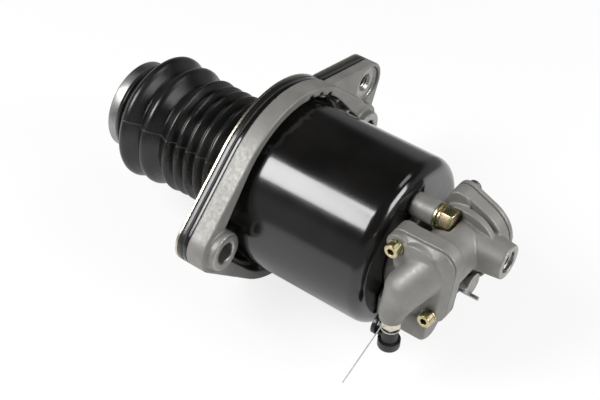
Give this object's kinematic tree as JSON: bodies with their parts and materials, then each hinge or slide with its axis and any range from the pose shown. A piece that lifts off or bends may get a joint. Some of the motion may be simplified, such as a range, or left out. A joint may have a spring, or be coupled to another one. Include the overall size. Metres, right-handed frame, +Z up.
{
  "type": "clutch servo",
  "caption": "Air-assisted hydraulic clutch servo with bellows boot, oval flange frame, black air cylinder and cast valve body.",
  "frame": {"origin": "centre of the mounting face, on the push rod's axis, in the outer face of the boot plate", "axes": "+X along the push rod's axis from the boot to the valve body, +Y from one flange bolt hole to the other, +Z up, toward the air port's side"},
  "size_m": [0.2805, 0.1907, 0.133],
  "materials": {
    "cast_aluminium": "as-cast aluminium, matte with fine grain",
    "black_paint": "gloss black paint",
    "zinc_yellow": "yellow zinc plating",
    "bright_steel": "turned or drawn bright steel",
    "black_rubber": "moulded black rubber",
    "gasket_sheet": "dark gasket sheet",
    "piston_alloy": "machined aluminium",
    "bearing_plastic": "plain nylon",
    "valve_brass": "machined brass"
  },
  "bodies": {
    "housing": {"boot_plate": "zinc_yellow", "front_plate": "black_paint", "flange_gasket": "gasket_sheet", "air_cylinder": "black_paint", "flange_casting": "cast_aluminium", "plate_screws": "zinc_yellow", "rod_guide": "bearing_plastic", "backing_ring": "zinc_yellow", "body_gasket": "gasket_sheet", "hydraulic_sleeve": "bright_steel", "valve_body": "cast_aluminium", "cover_gasket": "gasket_sheet", "valve_cover": "cast_aluminium", "cover_screws": "zinc_yellow", "cover_washers": "zinc_yellow", "rear_gasket": "gasket_sheet", "rear_cap": "cast_aluminium", "exhaust_flap": "black_rubber", "cap_screws": "zinc_yellow", "body_washers": "zinc_yellow", "spring_washers": "zinc_yellow", "body_bolts": "zinc_yellow", "valve_seat": "valve_brass", "dust_cap": "black_rubber", "cap_tie": "bearing_plastic", "end_plug": "piston_alloy", "plug_pin": "bright_steel", "boot": "black_rubber", "return_spring": "bright_steel", "relay_spring": "bright_steel", "poppet_spring": "bright_steel"},
    "rod": {"push_rod": "bright_steel", "rod_end_cup": "bright_steel", "air_piston": "piston_alloy", "piston_seal": "black_rubber", "guide_ring": "bearing_plastic", "piston_circlip": "bright_steel", "plunger_seal": "black_rubber"},
    "relay": {"relay_piston": "piston_alloy", "relay_seal": "black_rubber"},
    "poppet": {"inlet_poppet": "valve_brass"},
    "bleed": {"bleed_screw": "zinc_yellow"}
  },
  "joints": [
    {"name": "rod_slide", "type": "slide", "parent": "housing", "child": "rod", "axis": [1, 0, 0], "range_m": [0, 0.038], "stiffness_N_per_m": 1200, "springref_m": -0.05, "deforming": ["boot", "return_spring"]},
    {"name": "relay_slide", "type": "slide", "parent": "housing", "child": "relay", "axis": [0, 1, 0], "range_m": [0, 0.003], "stiffness_N_per_m": 2000, "springref_m": -0.004, "deforming": ["relay_spring"]},
    {"name": "poppet_slide", "type": "slide", "parent": "housing", "child": "poppet", "axis": [0, 1, 0], "range_m": [0, 0.002], "stiffness_N_per_m": 1000, "springref_m": -0.003, "deforming": ["poppet_spring"]},
    {"name": "bleed_turn", "type": "hinge", "parent": "housing", "child": "bleed", "pos_m": [0.1282, -0.05, -0.008], "axis": [0, 0, 1], "range_deg": [0, 270]}
  ],
  "couplings": [
    {"joint": "poppet_slide", "follows": "relay_slide", "ratio": 0.66}
  ]
}
